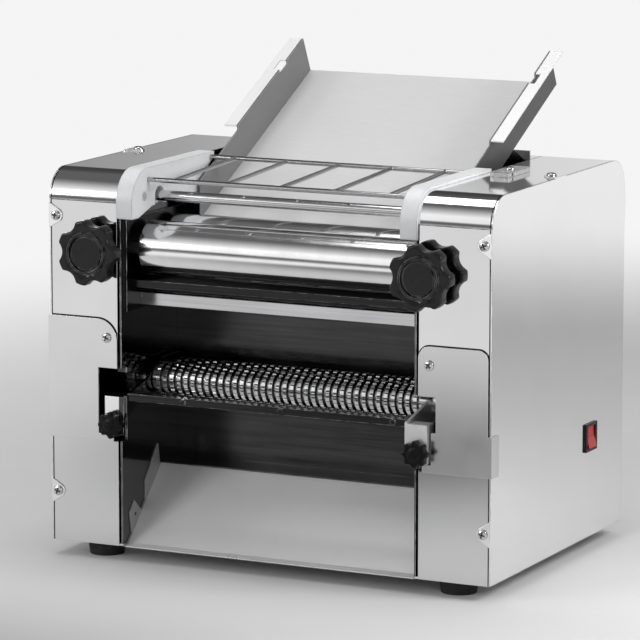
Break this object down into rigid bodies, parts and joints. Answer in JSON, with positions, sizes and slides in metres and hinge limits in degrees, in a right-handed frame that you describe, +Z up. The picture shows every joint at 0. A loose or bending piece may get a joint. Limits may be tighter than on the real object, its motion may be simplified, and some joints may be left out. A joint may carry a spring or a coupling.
{
  "type": "electric pasta maker",
  "caption": "Electric pasta maker with press rollers, thickness knobs, pull-out comb cutter unit, noodle chute, hopper tray, roller guard and geared belt drive.",
  "frame": {"origin": "on the surface the feet stand on, under the middle of the machine's footprint", "axes": "+X to the machine's right as seen from its front, +Y to its back, +Z up"},
  "size_m": [0.4449, 0.3754, 0.4497],
  "materials": {
    "casing_steel": "satin",
    "liner_steel": "satin",
    "roller_chrome": "polished",
    "cutter_chrome": "polished",
    "gear_steel": "machined",
    "shaft_steel": "ground",
    "plate_steel": "satin",
    "tray_steel": "satin",
    "black_plastic": "gloss",
    "cap_plastic": "satin",
    "red_plastic": "gloss",
    "foot_rubber": "matte",
    "belt_rubber": "matte",
    "motor_iron": "painted",
    "screw_steel": "bright",
    "bright_rod": "polished"
  },
  "bodies": {
    "frame": {"base_plate": "casing_steel", "bulkhead": "plate_steel", "cap_left": "cap_plastic", "cap_right": "cap_plastic", "cover_screws": "screw_steel", "cross_rods": "bright_rod", "drive_belt": "belt_rubber", "feet": "foot_rubber", "front_panel_left": "casing_steel", "front_panel_right": "casing_steel", "guard_grille": "bright_rod", "guard_rod": "bright_rod", "idler_studs": "shaft_steel", "interlock_block": "casing_steel", "liner_left": "liner_steel", "liner_right": "liner_steel", "lower_cover_left": "casing_steel", "lower_cover_right": "casing_steel", "motor_housing": "motor_iron", "noodle_chute": "tray_steel", "power_inlet": "black_plastic", "rear_deck": "casing_steel", "rear_panel": "casing_steel", "scraper_frame": "plate_steel", "scrapers": "bright_rod", "side_cover_left": "casing_steel", "side_cover_right": "casing_steel", "side_plate_left": "plate_steel", "side_plate_right": "plate_steel", "switch_bezel": "black_plastic", "wrap_cover_left": "casing_steel", "wrap_cover_right": "casing_steel"},
    "rear_press_roller": {"rear_roller": "roller_chrome", "roller_drive_gear": "gear_steel", "rear_roller_gear": "gear_steel"},
    "roller_carriage": {"bearing_block_left": "plate_steel", "bearing_block_right": "plate_steel"},
    "front_press_roller": {"front_roller": "roller_chrome", "front_roller_gear": "gear_steel"},
    "left_thickness_knob": {"thickness_knob_left": "black_plastic", "adjusting_screw_left": "shaft_steel"},
    "right_thickness_knob": {"thickness_knob_right": "black_plastic", "adjusting_screw_right": "shaft_steel"},
    "drive_layshaft": {"layshaft": "shaft_steel", "driven_pulley": "shaft_steel"},
    "motor_rotor": {"motor_shaft": "shaft_steel"},
    "link_wheel": {"link_gear": "gear_steel"},
    "idler_wheel": {"idler_gear": "gear_steel"},
    "cutter_unit": {"cutter_plate_left": "plate_steel", "cutter_plate_right": "plate_steel", "cutter_bars": "shaft_steel"},
    "front_cutter_roller": {"front_cutter": "cutter_chrome", "front_cutter_gear": "gear_steel", "cutter_drive_gear": "gear_steel"},
    "rear_cutter_roller": {"rear_cutter": "cutter_chrome", "rear_cutter_gear": "gear_steel"},
    "left_clamp": {"clamp_knob_left": "black_plastic"},
    "right_clamp": {"clamp_knob_right": "black_plastic"},
    "switch_rocker": {"power_rocker": "red_plastic"},
    "tray": {"hopper_tray": "tray_steel"}
  },
  "joints": [
    {"name": "rear_roller_spin", "type": "hinge", "parent": "frame", "child": "rear_press_roller", "pos_m": [0, -0.0742, 0.286], "axis": [1, 0, 0], "continuous": true},
    {"name": "right_knob_turn", "type": "hinge", "parent": "frame", "child": "right_thickness_knob", "pos_m": [0.1579, -0.1657, 0.286], "axis": [0, 1, 0], "range_deg": [-192.5, 528.5]},
    {"name": "left_knob_turn", "type": "hinge", "parent": "frame", "child": "left_thickness_knob", "pos_m": [-0.1722, -0.1657, 0.286], "axis": [0, 1, 0], "range_deg": [-192.5, 528.5]},
    {"name": "roller_gap_slide", "type": "slide", "parent": "frame", "child": "roller_carriage", "axis": [0, 1, 0], "range_m": [-0.0022, 0.0008]},
    {"name": "front_roller_spin", "type": "hinge", "parent": "roller_carriage", "child": "front_press_roller", "pos_m": [0, -0.1252, 0.286], "axis": [1, 0, 0], "continuous": true},
    {"name": "link_gear_spin", "type": "hinge", "parent": "frame", "child": "link_wheel", "pos_m": [0.1575, -0.0742, 0.214], "axis": [1, 0, 0], "continuous": true},
    {"name": "idler_gear_spin", "type": "hinge", "parent": "frame", "child": "idler_wheel", "pos_m": [0.1575, -0.0742, 0.163], "axis": [1, 0, 0], "continuous": true},
    {"name": "layshaft_spin", "type": "hinge", "parent": "frame", "child": "drive_layshaft", "pos_m": [0, -0.0152, 0.286], "axis": [1, 0, 0], "continuous": true},
    {"name": "motor_spin", "type": "hinge", "parent": "frame", "child": "motor_rotor", "pos_m": [0.182, 0.0588, 0.098], "axis": [1, 0, 0], "continuous": true},
    {"name": "cutter_unit_slide", "type": "slide", "parent": "frame", "child": "cutter_unit", "axis": [0, -1, 0], "range_m": [0, 0.12]},
    {"name": "front_cutter_spin", "type": "hinge", "parent": "cutter_unit", "child": "front_cutter_roller", "pos_m": [0, -0.1102, 0.163], "axis": [1, 0, 0], "continuous": true},
    {"name": "rear_cutter_spin", "type": "hinge", "parent": "cutter_unit", "child": "rear_cutter_roller", "pos_m": [0, -0.0827, 0.163], "axis": [1, 0, 0], "continuous": true},
    {"name": "left_clamp_turn", "type": "hinge", "parent": "cutter_unit", "child": "left_clamp", "pos_m": [-0.152, -0.1657, 0.1285], "axis": [0, 1, 0], "range_deg": [-1080, 0]},
    {"name": "right_clamp_turn", "type": "hinge", "parent": "cutter_unit", "child": "right_clamp", "pos_m": [0.152, -0.1657, 0.1285], "axis": [0, 1, 0], "range_deg": [-1080, 0]},
    {"name": "power_rocker_tilt", "type": "hinge", "parent": "frame", "child": "switch_rocker", "pos_m": [0.221, 0.0608, 0.108], "axis": [0, 1, 0], "range_deg": [0, 16]},
    {"name": "tray_lift_off", "type": "slide", "parent": "frame", "child": "tray", "axis": [0, 0.8949, 0.4462], "range_m": [0, 0.25]}
  ],
  "couplings": [
    {"joint": "front_roller_spin", "follows": "rear_roller_spin", "ratio": -1},
    {"joint": "link_gear_spin", "follows": "rear_roller_spin", "ratio": -1.5714},
    {"joint": "idler_gear_spin", "follows": "rear_roller_spin", "ratio": 1.913},
    {"joint": "front_cutter_spin", "follows": "rear_roller_spin", "ratio": -3.3846},
    {"joint": "rear_cutter_spin", "follows": "rear_roller_spin", "ratio": 3.3846},
    {"joint": "layshaft_spin", "follows": "rear_roller_spin", "ratio": -2.9333},
    {"joint": "motor_spin", "follows": "rear_roller_spin", "ratio": -11.524},
    {"joint": "left_knob_turn", "follows": "roller_gap_slide", "rad_per_m": -4188.8},
    {"joint": "right_knob_turn", "follows": "roller_gap_slide", "rad_per_m": -4188.8}
  ]
}
